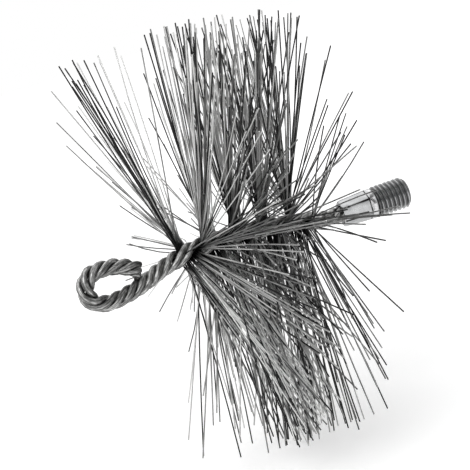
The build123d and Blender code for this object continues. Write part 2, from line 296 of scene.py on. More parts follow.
@dataclass(frozen=True)
class DrawnSteelWire:
    """Bare hard-drawn steel wire: dull grey crowns with long draw lines, and soot with painted
    shade in the valleys between the wires.
    """

    crown: str = "#D2D2D1"
    streak: str = "#5A5A59"
    # Colour of the soot and painted shade in the valleys between the wires
    valley_soot_and_shade: str = "#0C0C0C"
    streak_length: float = 4.0
    # The draw lines are finer on the real wire: 0.45 mm is the least that shows
    streak_width: float = 0.45
    streak_limits: tuple = (0.4, 0.62)
    streak_depth: float = 0.08
    streak_relief: float = 0.9
    smudge: float = 2.2
    smudge_limits: tuple = (0.62, 0.4)
    smudge_share: tuple = (0.35, 1.0)
    soot_and_shade_limits: tuple = (0.34, 0.66)
    soot_and_shade_swing: float = 0.5
    roughness: tuple = (0.75, 0.44)

    def make(self) -> Material:
        """Make the material, which follows each wire by its place and crown attributes.

        Returns:
            The material.
        """
        material, tree, shader = blank_material("hard_drawn_steel_wire")
        place = add_node(tree, "Attribute", {"attribute_name": "place"}).outputs["Vector"]
        crown = add_node(tree, "Attribute", {"attribute_name": "crown"}).outputs["Fac"]
        scale = (1 / self.streak_length, 1 / self.streak_width, 1 / self.streak_width)
        along = add_node(tree, "Mapping", {"Scale": scale, "Vector": place})
        fine = {"Scale": 1.0, "Detail": 3.0, "Roughness": 0.6}
        lines = add_node(tree, "TexNoise", fine | {"Vector": along})
        coords = add_node(tree, "TexCoord", {}).outputs["Object"]
        smudgy = {"Scale": 1 / (self.smudge * MM), "Detail": 4.0, "Vector": coords}
        smudges = add_node(tree, "TexNoise", smudgy)
        lined = add_node(tree, "MapRange", limits(self.streak_limits) | {"Value": lines})
        dulling = limits(self.smudge_limits, self.smudge_share)
        dulled = add_node(tree, "MapRange", dulling | {"Value": smudges})
        drawn = add_node(tree, "Math", {"operation": "MULTIPLY", 0: lined, 1: dulled})
        steel = {"data_type": "RGBA", 0: drawn, 6: self.streak, 7: self.crown}
        metal = add_node(tree, "Mix", steel)
        # Soot and painted shade: darker in the valleys between the wires, thinning out unevenly up
        # their sides
        swing = {"operation": "MULTIPLY_ADD", 1: self.soot_and_shade_swing, 2: -self.soot_and_shade_swing / 2}
        uneven = add_node(tree, "Math", swing | {0: smudges})
        level = add_node(tree, "Math", {"operation": "ADD", 0: crown, 1: uneven})
        clean_and_unshaded = add_node(tree, "MapRange", limits(self.soot_and_shade_limits) | {"Value": level})
        soot_and_shade_mix = {"data_type": "RGBA", 0: clean_and_unshaded, 6: self.valley_soot_and_shade, 7: metal}
        colour = add_node(tree, "Mix", soot_and_shade_mix)
        worn = limits((0.0, 1.0), self.roughness)
        rough = add_node(tree, "MapRange", worn | {"Value": clean_and_unshaded})
        relief = {"Strength": self.streak_relief, "Distance": self.streak_depth * MM}
        bump = add_node(tree, "Bump", relief | {"Height": lines})
        looks = {"Base Color": colour, "Roughness": rough, "Normal": bump}
        fill_node(tree, shader, looks | {"Metallic": 1.0})
        return material


@dataclass(frozen=True)
class SpringSteelBristle:
    """Oil-hardened spring wire: near black oxide, worn to grey on some strands, with soot and
    painted shade near the stem, so lighter towards the tips.
    """

    oxide: str = "#282828"
    worn: str = "#D2D2D1"
    # Colour of the soot and painted shade near the stem
    root_soot_and_shade: str = "#1E1E1E"
    patch_length: float = 14.0
    strand_scale: tuple = (40.0, 3.0)
    patch_weight: float = 0.6
    worn_limits: tuple = (0.57, 1.12)
    soot_and_shade_limits: tuple = (0.5, 9.0)
    roughness: float = 0.38

    def make(self) -> Material:
        """Make the material, which varies along and between the strands.

        Returns:
            The material.
        """
        material, tree, shader = blank_material("oil_hardened_spring_wire")
        strand = add_node(tree, "Attribute", {"attribute_name": "strand"}).outputs["Vector"]
        marks = add_node(tree, "SeparateXYZ", {"Vector": strand}).outputs
        scale = (1 / self.patch_length, *self.strand_scale)
        patches = add_node(tree, "Mapping", {"Scale": scale, "Vector": strand})
        wear = add_node(tree, "TexNoise", {"Scale": 1.0, "Detail": 3.0, "Vector": patches})
        weighted = {"operation": "MULTIPLY_ADD", 0: wear, 1: self.patch_weight, 2: marks["Y"]}
        level = add_node(tree, "Math", weighted)
        share = add_node(tree, "MapRange", limits(self.worn_limits) | {"Value": level})
        steel = {"data_type": "RGBA", 0: share, 6: self.oxide, 7: self.worn}
        metal = add_node(tree, "Mix", steel)
        # Soot and painted shade: darker where the strands crowd together near the stem
        free = add_node(tree, "MapRange", limits(self.soot_and_shade_limits) | {"Value": marks["X"]})
        soot_and_shade_mix = {"data_type": "RGBA", 0: free, 6: self.root_soot_and_shade, 7: metal}
        looks = {"Base Color": add_node(tree, "Mix", soot_and_shade_mix), "Roughness": self.roughness}
        fill_node(tree, shader, looks | {"Metallic": 1.0})
        return material


@dataclass(frozen=True)
class ZincPlate:
    """Bright zinc plate on turned steel: light grey with fine turning lines, grime and painted
    shade in the thread and the bore, a painted highlight on the collar and painted dark reflections
    along the crimp's edges.
    """

    plate: str = "#BCBDBE"
    dull: str = "#A0A1A2"
    # Colour of the grime and painted shade in the thread's roots and the bore
    recess_grime_and_shade: str = "#626262"
    # Colour of the painted dark reflections along the crimp's edges
    dark_edge_reflection: str = "#2E2E2E"
    # Colour of the painted highlight on the collar by the thread
    collar_highlight: str = "#CFCFD0"
    # Turning marks are near 0.1 mm apart; drawn at 0.25 mm so that they show
    turning: float = 0.25
    turning_length: float = 4.0
    turning_depth: float = 0.02
    turning_relief: float = 0.35
    cloud: float = 3.0
    dull_limits: tuple = (0.35, 0.7)
    edge_line_width: float = 0.5
    flat_width: float = 5.0
    edge_line_limits: tuple = (0.35, 0.55)
    edge_line_share: tuple = (0.55, 1.0)
    crimp_end: float = -3.0
    collar_foot: float = -0.9
    thread_grime_and_shade: tuple = (5.0, 6.1)
    bore_grime_and_shade: tuple = (3.3, 4.1)
    grime_and_shade_swing: float = 0.5
    roughness: tuple = (0.34, 0.24)

    def make(self) -> Material:
        """Make the material, with grime and painted shade in the thread and in the bore.

        Returns:
            The material.
        """
        material, tree, shader = blank_material("bright_zinc_plate")
        place = add_node(tree, "TexCoord", {}).outputs["Object"]
        split = add_node(tree, "SeparateXYZ", {"Vector": place}).outputs
        across = add_node(tree, "CombineXYZ", {"X": split["Y"], "Y": split["Z"]})
        radius = add_node(tree, "VectorMath", {"operation": "LENGTH", 0: across})
        cloudy = {"Scale": 1 / (self.cloud * MM), "Detail": 5.0, "Vector": place}
        clouds = add_node(tree, "TexNoise", cloudy)
        round_it = 1 / (self.turning_length * MM)
        scale = (1 / (self.turning * MM), round_it, round_it)
        grain = add_node(tree, "Mapping", {"Scale": scale, "Vector": place})
        turned = add_node(tree, "TexNoise", {"Scale": 1.0, "Detail": 2.0, "Vector": grain})
        dulled = add_node(tree, "MapRange", limits(self.dull_limits) | {"Value": clouds})
        zinc = {"data_type": "RGBA", 0: dulled, 6: self.plate, 7: self.dull}
        clouded_plate = add_node(tree, "Mix", zinc)
        # Painted highlight: the collar between the crimp and the thread is painted lighter than the
        # rest of the plate
        foot, end = self.collar_foot * MM, self.crimp_end * MM
        collar = {"operation": "COMPARE", 1: (foot + end) / 2, 2: (foot - end) / 2}
        on_collar = add_node(tree, "Math", collar | {0: split["X"]})
        painted_highlight = {"data_type": "RGBA", 0: on_collar, 6: clouded_plate, 7: self.collar_highlight}
        plate = add_node(tree, "Mix", painted_highlight)
        # Grime and painted shade: darker deep in the thread and in the bore
        swing = {1: self.grime_and_shade_swing * MM, 2: -self.grime_and_shade_swing * MM / 2}
        ragged = add_node(tree, "Math", {"operation": "MULTIPLY_ADD", 0: clouds} | swing)
        height = add_node(tree, "Math", {"operation": "ADD", 0: radius, 1: ragged})
        flank = limits(tuple(edge * MM for edge in self.thread_grime_and_shade))
        crest = add_node(tree, "MapRange", flank | {"Value": height})
        on_body = add_node(tree, "Math", {"operation": "LESS_THAN", 0: split["X"], 1: foot})
        mouth = limits(tuple(edge * MM for edge in self.bore_grime_and_shade))
        off_bore = add_node(tree, "MapRange", mouth | {"Value": radius})
        body = add_node(tree, "Math", {"operation": "MULTIPLY", 0: on_body, 1: off_bore})
        clean_and_unshaded = add_node(tree, "Math", {"operation": "MAXIMUM", 0: crest, 1: body})
        grime_and_shade_mix = {"data_type": "RGBA", 0: clean_and_unshaded, 6: self.recess_grime_and_shade, 7: plate}
        colour = add_node(tree, "Mix", grime_and_shade_mix)
        # Painted dark reflections along the crimp's edges and at its end
        edge_reflection_mask = self.painted_edge_lines(tree, split, clouds)
        edge_reflection_mix = {"data_type": "RGBA", 0: edge_reflection_mask, 6: colour, 7: self.dark_edge_reflection}
        polish = limits((0.0, 1.0), self.roughness)
        rough = add_node(tree, "MapRange", polish | {"Value": clean_and_unshaded})
        relief = {"Strength": self.turning_relief, "Distance": self.turning_depth * MM}
        bump = add_node(tree, "Bump", relief | {"Height": turned})
        looks = {"Base Color": add_node(tree, "Mix", edge_reflection_mix), "Roughness": rough, "Normal": bump}
        fill_node(tree, shader, looks | {"Metallic": 1.0})
        return material

    def painted_edge_lines(self, tree: NodeTree, split: NodeOutputs, clouds: Node) -> Node:
        """Painted dark reflections along the crimp's six rounded edges and at its far end.

        Args:
            tree: the material's node tree.
            split: the outputs that give the object's X, Y and Z.
            clouds: the cloud pattern, which makes the lines uneven.

        Returns:
            A node that gives 1 on the lines and 0 off them.
        """
        end = self.crimp_end * MM
        angle = add_node(tree, "Math", {"operation": "ARCTAN2", 0: split["Y"], 1: split["Z"]})
        sixths = add_node(tree, "Math", {"operation": "MULTIPLY", 0: angle, 1: 3 / math.pi})
        off_edge = add_node(tree, "Math", {"operation": "PINGPONG", 0: sixths, 1: 0.5})
        share = self.edge_line_width / self.flat_width
        width = limits((share, share / 2))
        on_edge = add_node(tree, "MapRange", width | {"Value": off_edge})
        on_crimp = add_node(tree, "Math", {"operation": "LESS_THAN", 0: split["X"], 1: end})
        along = add_node(tree, "Math", {"operation": "MULTIPLY", 0: on_edge, 1: on_crimp})
        near_end = {"operation": "COMPARE", 1: end, 2: self.edge_line_width * MM / 2}
        at_end = add_node(tree, "Math", near_end | {0: split["X"]})
        lines = add_node(tree, "Math", {"operation": "MAXIMUM", 0: along, 1: at_end})
        patchy = limits(self.edge_line_limits, self.edge_line_share)
        uneven = add_node(tree, "MapRange", patchy | {"Value": clouds})
        return add_node(tree, "Math", {"operation": "MULTIPLY", 0: lines, 1: uneven})


@dataclass(frozen=True)
class WeldBead:
    """Small arc-weld bead on steel: lumpy, brown-grey scale with painted highlights on the tops of
    a few lumps.
    """

    scale_colour: str = "#2E2D2C"
    # Colour of the painted highlights on the lump tops
    painted_highlight: str = "#6E6D6B"
    lump: float = 0.7
    lump_height: float = 0.15
    lump_relief: float = 0.7
    highlight_limits: tuple = (0.45, 0.7)
    roughness: float = 0.5

    def make(self) -> Material:
        """Make the material, with its lumps and the painted highlights on their tops.

        Returns:
            The material.
        """
        material, tree, shader = blank_material("arc_weld_bead")
        coords = add_node(tree, "TexCoord", {}).outputs["Object"]
        lumpy = {"Scale": 1 / (self.lump * MM), "Detail": 4.0, "Vector": coords}
        lumps = add_node(tree, "TexNoise", lumpy)
        # Painted highlights: lighter where the lumps stand highest
        share = add_node(tree, "MapRange", limits(self.highlight_limits) | {"Value": lumps})
        steel = {"data_type": "RGBA", 0: share, 6: self.scale_colour, 7: self.painted_highlight}
        relief = {"Strength": self.lump_relief, "Distance": self.lump_height * MM}
        bump = add_node(tree, "Bump", relief | {"Height": lumps})
        looks = {"Base Color": add_node(tree, "Mix", steel), "Normal": bump}
        fill_node(tree, shader, looks | {"Metallic": 1.0, "Roughness": self.roughness})
        return material


@dataclass
class StemLine:
    """Bent centre line of the stem and the lay of its four wires, as the solids have them."""

    wire_diameter: float = 2.25
    wire_gap: float = 0.13
    start_x: float = -3.3
    wire_seat: float = 10.5
    stem_length: float = 83.0
    # Each bend's share of the stem's length, then its rise and its swing in degrees
    bend_shares: tuple = (
        (0.12, 13.2, 14.1),
        (0.26, -3.0, 0.0),
        (0.23, -5.3, 0.0),
        (0.18, -9.8, 0.0),
        (0.21, -12.7, 0.0),
    )
    # Each run of the eye: its length and its bend in degrees
    eye_runs: tuple = ((15.3, 15.6), (6.5, 27.8), (15.124, 150.7), (13.4, 34.6), (32.0, 0.0))
    length: float = 147.7
    bend_radius: float = 5.75
    bend_reach: float = 3.2
    bend_growth: float = 0.1
    bend_spread: float = 0.3
    first_bristle: float = 24.0
    bristled_length: float = 55.5
    upright_share: float = 0.36
    lay_change: float = 7.5
    ferrule_lay: float = 18.3
    grip_lay: float = 23.7
    neck_lay: float = 16.3
    eye_lay: float = 19.4
    grip_radius: float = 2.373
    grip_angle: float = 0.6069
    radius_rounds: int = 25
    slide_rounds: int = 15
    stretches: list = field(default_factory=list)

    def __post_init__(self) -> None:
        """Lay the stretches of the line end to end."""
        start = ((self.start_x, 0, 0), (-1, 0, 0), (0, 0, 1), (0, 1, 0))
        place = tuple(Vector(part) for part in start)
        runs = [(self.wire_seat, 0.0, 0.0)]
        runs += [(self.stem_length * share, rise, swing) for share, rise, swing in self.bend_shares]
        runs += [(length, rise, 0.0) for length, rise in self.eye_runs]
        begin = 0.0
        for length, rise, swing in runs:
            turn = math.radians(math.hypot(rise, swing))
            inward = (place[2] * rise - place[3] * swing).normalized() if turn else place[2]
            self.stretches.append((begin, length, turn, inward, place))
            begin += length
            place = self.at(begin)

    @property
    def last_bristle(self) -> float:
        """Station of the last bristle."""
        return self.first_bristle + self.bristled_length

    @property
    def neck(self) -> float:
        """Station where the stem becomes the eye."""
        return self.wire_seat + self.stem_length

    def at(self, station: float) -> tuple[Vector, Vector, Vector, Vector]:
        """Find the line's place at a distance along it.

        Args:
            station: distance along the line.

        Returns:
            Point, direction, upper side and far side.
        """
        found = [stretch for stretch in self.stretches if stretch[0] <= station] or self.stretches
        begin, length, turn, inward, (origin, ahead, upper, side) = found[-1]
        along = station - begin
        if not turn:
            return origin + ahead * along, ahead, upper, side
        bend, radius = turn * along / length, length / turn
        run, rise = radius * math.sin(bend), radius * (1 - math.cos(bend))
        point = origin + ahead * run + inward * rise
        turned = Matrix.Rotation(bend, 3, ahead.cross(inward))
        return point, turned @ ahead, turned @ upper, turned @ side

    def search_tree(self, end: float, count: int) -> KDTree:
        """Search tree of evenly spaced points on the line, in millimetres.

        Args:
            end: station of the last point.
            count: how many steps lead there from the line's start.

        Returns:
            The balanced tree.
        """
        tree = KDTree(count + 1)
        for number in range(count + 1):
            tree.insert(self.at(end * number / count)[0], number)
        tree.balance()
        return tree

    def lay_knots(self) -> list[tuple[float, float]]:
        """List where the lay changes.

        Returns:
            Stations with the turns per millimetre of the lay there.
        """
        return [
            (0.0, 1 / self.ferrule_lay),
            (self.first_bristle - self.lay_change, 1 / self.ferrule_lay),
            (self.first_bristle, 1 / self.grip_lay),
            (self.last_bristle, 1 / self.grip_lay),
            (self.last_bristle + self.lay_change, 1 / self.neck_lay),
            (self.neck, 1 / self.neck_lay),
            (self.neck + self.eye_runs[0][0], 1 / self.eye_lay),
            (self.length + self.wire_seat, 1 / self.eye_lay),
        ]

    def lay_turns(self, station: float) -> float:
        """Turns that the lay has made at a station.

        Args:
            station: distance along the line.

        Returns:
            The turns since the line's start.
        """
        turns = 0.0
        knots = self.lay_knots()
        for (low, low_rate), (high, high_rate) in zip(knots, knots[1:]):
            covered = min(max(station - low, 0.0), high - low)
            end_rate = low_rate + (high_rate - low_rate) * covered / (high - low)
            turns += covered * (low_rate + end_rate) / 2
        return turns

    def grip_share(self, station: float) -> float:
        """Find how far the wires are held open by the bristles between them.

        Args:
            station: distance along the line.

        Returns:
            The share, 0 to 1.
        """
        opened = smooth_step((station - self.first_bristle + self.lay_change) / self.lay_change)
        closed = smooth_step((self.last_bristle + self.lay_change - station) / self.lay_change)
        return min(opened, closed)

    def bare_radius(self, station: float) -> float:
        """Find the radius of the wires' centres where all four touch their neighbours.

        Args:
            station: distance along the line.

        Returns:
            The radius, a gap wider than touching.
        """
        knots = self.lay_knots()
        rate = knots[-1][1]
        for (low, low_rate), (high, high_rate) in zip(knots, knots[1:]):
            if station <= high:
                rate = low_rate + (high_rate - low_rate) * (station - low) / (high - low)
                break
        wanted = self.wire_diameter + self.wire_gap
        radius = wanted / math.sqrt(2)
        # A quarter turn apart, the nearest points of two helices lie a little along the lay
        turn = 2 * math.pi * rate
        for _ in range(self.radius_rounds):
            slide = 0.0
            for _ in range(self.slide_rounds):
                slide = radius * radius * turn * math.cos(turn * slide)
            chord = 2 * radius * radius * (1 - math.sin(turn * slide))
            radius *= wanted / math.sqrt(chord + slide * slide)
        return radius

    def bend_at(self, station: float) -> float:
        """Find the mean bend about a station.

        Args:
            station: distance along the line.

        Returns:
            The bend, 1 where it is as tight as the eye's.
        """
        low, high = station - self.bend_reach, station + self.bend_reach
        turned = 0.0
        for begin, length, turn, _, _ in self.stretches:
            covered = min(high, begin + length) - max(low, begin)
            turned += turn * max(covered, 0.0) / length
        return turned * self.bend_radius / (high - low)

    def wire_point(self, index: int, station: float) -> Vector:
        """Centre of one wire at a station of the stem line.

        Args:
            index: the wire's number, 0 to 3.
            station: distance along the stem line.

        Returns:
            The centre of that wire.
        """
        point, _, upper, side = self.at(station)
        share = self.grip_share(station)
        bare = self.bare_radius(station)
        radius = bare + (self.grip_radius - bare) * share
        off_normal = math.pi / 4 + (self.grip_angle - math.pi / 4) * share
        upright = self.first_bristle + self.bristled_length * self.upright_share
        ruling = math.pi / 2 + 2 * math.pi * (self.lay_turns(station) - self.lay_turns(upright))
        pair = math.pi / 2 if index < 2 else -math.pi / 2
        angle = ruling + pair + (off_normal if index % 2 == 0 else -off_normal)
        bend = self.bend_at(station) * (1 - share)
        grown = radius * (1 + self.bend_growth * bend)
        spread = grown * (1 + self.bend_spread * bend)
        return point + side * (spread * math.cos(angle)) + upper * (grown * math.sin(angle))


@dataclass
class StemWires:
    """The four wires twisted into the stem and round the eye, each drawn once and laid in place."""

    line: StemLine
    diameter: float = 2.36
    sides: int = 16
    step: float = 0.7
    # The cut end's rounding: how far in and how far out each step goes
    cut_steps: tuple = ((0.16, 0.28), (0.36, 0.22))
    dent: float = 0.1
    dent_size: float = 2.4
    crown_reach: float = 1.32
    smooth_angle: float = 50.0
    end_offsets: tuple = (0.0, -0.5, 0.4, -0.2)

    def build(self, finish: DrawnSteelWire) -> None:
        """Build and dress the four wires.

        Args:
            finish: their finish.
        """
        material = finish.make()
        for index in range(len(self.end_offsets)):
            wire = self.make_wire(index)
            finish_piece(wire, material, ["stem_wire_%d" % (index + 1)])

    def route(self, index: int) -> list[Vector]:
        """Follow one wire's centre from the ferrule round the eye to its cut end.

        Args:
            index: the wire's number, 0 to 3.

        Returns:
            The points, in millimetres.
        """
        end = self.line.length + self.end_offsets[index]
        count = int(end / self.step)
        return [self.line.wire_point(index, end * number / count) for number in range(count + 1)]

    def make_wire(self, index: int) -> Object:
        """Draw one wire straight and lay it along its helix.

        Args:
            index: the wire's number, 0 to 3.

        Returns:
            The finished wire.
        """
        route = self.route(index)
        length = sum((b - a).length for a, b in zip(route, route[1:]))
        wire = self.straight_wire(index, length)
        self.keep_place(wire)
        curve = self.route_curve(route)
        apply_modifier(wire, "CURVE", {"object": curve, "deform_axis": "POS_X"})
        bpy.data.objects.remove(curve)
        self.keep_crown(wire)
        roughen(wire, self.dent_size, self.dent)
        smooth_by_angle(wire, self.smooth_angle)
        return wire

    def straight_wire(self, index: int, length: float) -> Object:
        """Model a straight wire along +X with a domed cut end and many rings.

        Args:
            index: the wire's number, 0 to 3.
            length: its length, in millimetres.

        Returns:
            The straight wire.
        """
        name = "drawn_wire_%d" % (index + 1)
        wire = add_rod(name, self.sides, self.diameter / 2 * MM, length * MM)
        with editing(wire):
            bpy.ops.mesh.select_all(action="DESELECT")
            mesh = bmesh.from_edit_mesh(wire.data)
            # Only the two end faces have more than four corners
            for face in mesh.faces:
                face.select = len(face.verts) > 4 and face.calc_center_median().x > 0
            bmesh.update_edit_mesh(wire.data)
            for inset, dome in self.cut_steps:
                bpy.ops.mesh.inset(thickness=inset * MM, depth=dome * MM)
            bpy.ops.mesh.select_all(action="DESELECT")
            mesh = bmesh.from_edit_mesh(wire.data)
            for edge in mesh.edges:
                edge.select = edge.calc_length() > length * MM / 2
            bmesh.update_edit_mesh(wire.data)
            bpy.ops.mesh.subdivide(number_cuts=int(length / self.step) - 1)
        return wire

    def keep_place(self, wire: Object) -> None:
        """Keep each point's place on the straight wire, in millimetres, for the draw lines.

        Args:
            wire: the straight wire.
        """
        values = [value / MM for vertex in wire.data.vertices for value in vertex.co]
        place = wire.data.attributes.new("place", "FLOAT_VECTOR", "POINT")
        place.data.foreach_set("vector", values)

    def route_curve(self, route: list[Vector]) -> Object:
        """Draw a curve through a wire's centre points, for the Curve modifier.

        Args:
            route: the wire's centre points.

        Returns:
            The curve.
        """
        data = bpy.data.curves.new("wire_route", "CURVE")
        data.dimensions = "3D"
        spline = data.splines.new("POLY")
        spline.points.add(len(route) - 1)
        for point, spot in zip(spline.points, route):
            point.co = (*(spot * MM), 1.0)
        return add_object("wire_route", data)

    def keep_crown(self, wire: Object) -> None:
        """Keep how far each point stands out of the stem: 0 in the core, 1 on the crown.

        Args:
            wire: the laid wire.
        """
        tree = self.line.search_tree(self.line.length, int(self.line.length / self.step))
        outer = self.line.wire_diameter * self.crown_reach
        values = [tree.find(vertex.co / MM)[2] / outer for vertex in wire.data.vertices]
        crown = wire.data.attributes.new("crown", "FLOAT", "POINT")
        crown.data.foreach_set("value", values)


@dataclass
class ThreadedFerrule:
    """Zinc-plated ferrule: a crimped body with its wire bore, and an external thread."""

    thread_diameter: float = 12.0
    thread_pitch: float = 1.75
    thread_length: float = 13.2
    thread_chamfer: float = 1.3
    flank_angle: float = 30.0
    cut_share: float = 5 / 8
    body_length: float = 13.8
    body_radius: float = 5.7035
    foot_radius: float = 4.9
    bore_radius: float = 3.1035
    bore_depth: float = 11.3
    mouth_radius: float = 3.8535
    mouth_depth: float = 2.4
    mouth_round: float = 0.4
    corner_radius: float = 5.0535
    half_flat: float = 4.4535
    crimp_taper: float = 3.0
    crimp_length: float = 10.8
    crimp_slope: float = 30.0
    crimp_sides: int = 6
    edge_round: float = 0.22
    edge_steps: int = 3
    edge_angle: float = 18.0
    flank_share: float = 0.625
    crest_share: float = 0.125
    flank_softness: float = 0.22
    over: float = 0.5
    foot_gap: float = 0.02
    merge: float = 0.002
    sliver: float = 0.0005
    turns_before: int = 2
    turns_after: int = 1
    turn_steps: int = 96
    profile_steps: int = 14
    # The foot's rounding as shares of its width and height, from its end face outwards
    foot_curve: tuple = ((0.0, 0.0), (0.25, 0.45), (0.6, 0.82))
    foot_run_out: float = 0.15
    body_smooth_angle: float = 40.0
    thread_smooth_angle: float = 35.0

    def build(self, finish: ZincPlate) -> None:
        """Build and dress the ferrule.

        Args:
            finish: its finish.
        """
        body = self.make_body()
        thread = self.make_thread()
        take(body)
        thread.select_set(True)
        bpy.ops.object.join()
        body.name = "plated_ferrule"
        finish_piece(body, finish.make(), ["threaded_ferrule"])

    def outlined(self, name: str, outline: list[tuple[float, float]]) -> Object:
        """Draw an open line of edges beside the ferrule's axis, by extruding a point along it.

        Args:
            name: the new piece's name.
            outline: points as X and radius, in millimetres.

        Returns:
            The line, ready to be spun or screwed.
        """
        deselect()
        bpy.ops.mesh.primitive_plane_add(size=MM)
        piece = bpy.context.object
        piece.name = name
        spots = [Vector((x, 0, radius)) * MM for x, radius in outline]
        with editing(piece):
            bpy.ops.mesh.merge(type="CENTER")
            bpy.ops.transform.translate(value=spots[0])
            for before, spot in zip(spots, spots[1:]):
                bpy.ops.mesh.extrude_region_move(TRANSFORM_OT_translate={"value": spot - before})
        return piece

    def spun(self, name: str, outline: list[tuple[float, float]]) -> Object:
        """Spin a half outline about the ferrule's axis.

        Args:
            name: the new piece's name.
            outline: points as X and radius, in millimetres, from axis to axis.

        Returns:
            The closed piece.
        """
        piece = self.outlined(name, outline)
        with editing(piece):
            bpy.ops.mesh.spin(
                steps=self.turn_steps, angle=2 * math.pi, center=(0, 0, 0), axis=(1, 0, 0)
            )
            bpy.ops.mesh.select_all(action="SELECT")
            bpy.ops.mesh.remove_doubles(threshold=self.merge * MM)
            bpy.ops.mesh.normals_make_consistent(inside=False)
        return piece

    def make_body(self) -> Object:
        """Spin the body with its bore, then press the six flats of the crimp into it.

        Returns:
            The body.
        """
        mouth = -self.body_length
        step = self.body_radius - self.foot_radius
        foot = [(-step * run, self.foot_radius + step * rise) for run, rise in self.foot_curve]
        outside = [
            (-step - self.foot_run_out, self.body_radius),
            (mouth + self.crimp_length, self.body_radius),
            (mouth + self.mouth_round, self.corner_radius),
            (mouth, self.corner_radius - self.mouth_round),
        ]
        inside = [
            (mouth, self.mouth_radius),
            (mouth + self.mouth_depth, self.bore_radius),
            (mouth + self.bore_depth, self.bore_radius),
            (mouth + self.bore_depth, 0.0),
        ]
        body = self.spun("ferrule_body", [(0.0, 0.0)] + foot + outside + inside)
        for number in range(self.crimp_sides):
            self.press_flat(body, 2 * math.pi * (number + 0.5) / self.crimp_sides)
        rounding = {"width": self.edge_round * MM, "segments": self.edge_steps}
        sharp = {"limit_method": "ANGLE", "angle_limit": math.radians(self.edge_angle)}
        apply_modifier(body, "BEVEL", rounding | sharp)
        smooth_by_angle(body, self.body_smooth_angle)
        return body

    def press_flat(self, body: Object, angle: float) -> None:
        """Cut one flat of the crimp with a wedge.

        Args:
            body: the round body.
            angle: the flat's angle about the ferrule's axis, in radians.
        """
        rise = math.tan(math.radians(self.crimp_taper))
        over = 2 * self.over
        near, far = -self.body_length - over, -self.body_length + self.crimp_length
        top = self.body_radius + over
        near_height = self.half_flat - over * rise
        far_height = self.half_flat + self.crimp_length * rise
        slope_end = far + (top - far_height) / math.tan(math.radians(self.crimp_slope))
        deselect()
        bpy.ops.mesh.primitive_cube_add(size=2 * MM)
        wedge = bpy.context.object
        for vertex in wedge.data.vertices:
            low = vertex.co.z < 0
            if vertex.co.x < 0:
                vertex.co.x = near * MM
                vertex.co.z = (near_height if low else top) * MM
            else:
                vertex.co.x = (far if low else slope_end) * MM
                vertex.co.z = (far_height if low else top) * MM
            vertex.co.y *= self.body_radius
        wedge.rotation_euler = (angle, 0, 0)
        settle(wedge)
        apply_modifier(body, "BOOLEAN", {"operation": "DIFFERENCE", "object": wedge})
        bpy.data.objects.remove(wedge)

    def thread_outline(self) -> list[tuple[float, float]]:
        """Draw one pitch of the thread, with a soft crest and root.

        Returns:
            Points as X and radius, in millimetres.
        """
        # A metric thread is cut to this share of its sharp triangle's height
        depth = self.thread_pitch * math.cos(math.radians(self.flank_angle)) * self.cut_share
        crest = self.thread_diameter / 2
        points = []
        for step in range(self.profile_steps):
            share = step / self.profile_steps
            # Distance from the crest's middle, 0 to 1 at the root's middle
            away = abs(2 * share - 1)
            wall = min(max((away - self.crest_share) / self.flank_share, 0.0), 1.0)
            eased = wall + self.flank_softness * (smooth_step(wall) - wall)
            points.append((share * self.thread_pitch, crest - depth * eased))
        return points

    def make_thread(self) -> Object:
        """Screw one outline into the thread, cut it to length and chamfer its end.

        Returns:
            The thread.
        """
        turns = math.ceil(self.thread_length / self.thread_pitch)
        turns += self.turns_before + self.turns_after
        start = -self.turns_before * self.thread_pitch
        outline = [
            (start + turn * self.thread_pitch + x, radius)
            for turn in range(turns)
            for x, radius in self.thread_outline()
        ]
        thread = self.outlined("rolled_thread", outline)
        helix = {"axis": "X", "angle": -2 * math.pi, "screw_offset": -self.thread_pitch * MM}
        steps = {"steps": self.turn_steps, "render_steps": self.turn_steps}
        merging = {"use_merge_vertices": True, "merge_threshold": self.merge * MM}
        apply_modifier(thread, "SCREW", helix | steps | merging)
        with editing(thread):
            bpy.ops.mesh.remove_doubles(threshold=2 * self.merge * MM)
            for cut, towards in ((self.foot_gap, -1), (self.thread_length, 1)):
                bpy.ops.mesh.select_all(action="SELECT")
                bpy.ops.mesh.bisect(
                    plane_co=(cut * MM, 0, 0),
                    plane_no=(towards, 0, 0),
                    use_fill=True,
                    clear_outer=True,
                    threshold=self.sliver * MM,
                )
            bpy.ops.mesh.select_all(action="SELECT")
            bpy.ops.mesh.normals_make_consistent(inside=False)
        self.chamfer_end(thread)
        smooth_by_angle(thread, self.thread_smooth_angle)
        return thread

    def chamfer_end(self, thread: Object) -> None:
        """Keep only what lies inside a rod with a chamfered end.

        Args:
            thread: the thread to cut.
        """
        outer = self.thread_diameter / 2 + self.over
        inner = self.thread_diameter / 2 - self.thread_chamfer
        chamfer = self.thread_length - (outer - inner)
        end = self.thread_length - self.sliver
        blank = self.spun(
            "chamfered_rod",
            [(-self.over, 0.0), (-self.over, outer), (chamfer, outer), (end, inner), (end, 0.0)],
        )
        apply_modifier(thread, "BOOLEAN", {"operation": "INTERSECT", "object": blank})
        bpy.data.objects.remove(blank)


@dataclass
class EyeTackWeld:
    """Bead that holds the cut end of the eye against the stem."""

    centre: tuple = (-97.85, -19.85, 6.36)
    radius: float = 1.25
    lump: float = 0.4
    lump_size: float = 1.1
    fineness: int = 4
    smooth_angle: float = 80.0

    def build(self, finish: WeldBead) -> None:
        """Build and dress the weld.

        Args:
            finish: its finish.
        """
        deselect()
        bpy.ops.mesh.primitive_ico_sphere_add(
            subdivisions=self.fineness,
            radius=self.radius * MM,
            location=Vector(self.centre) * MM,
        )
        bead = bpy.context.object
        bead.name = "weld_bead"
        settle(bead)
        roughen(bead, self.lump_size, self.lump)
        smooth_by_angle(bead, self.smooth_angle)
        finish_piece(bead, finish.make(), ["eye_tack_weld"])


@dataclass(frozen=True)
class StrayStrands:
    """Added strands that point another way than their bundle, in millimetres and degrees.

    Each of the bundles gets this count, with lean, rise and reach drawn between limits.
    """

    count: int
    bundles: tuple
    lean: tuple
    rise: tuple
    reach: tuple


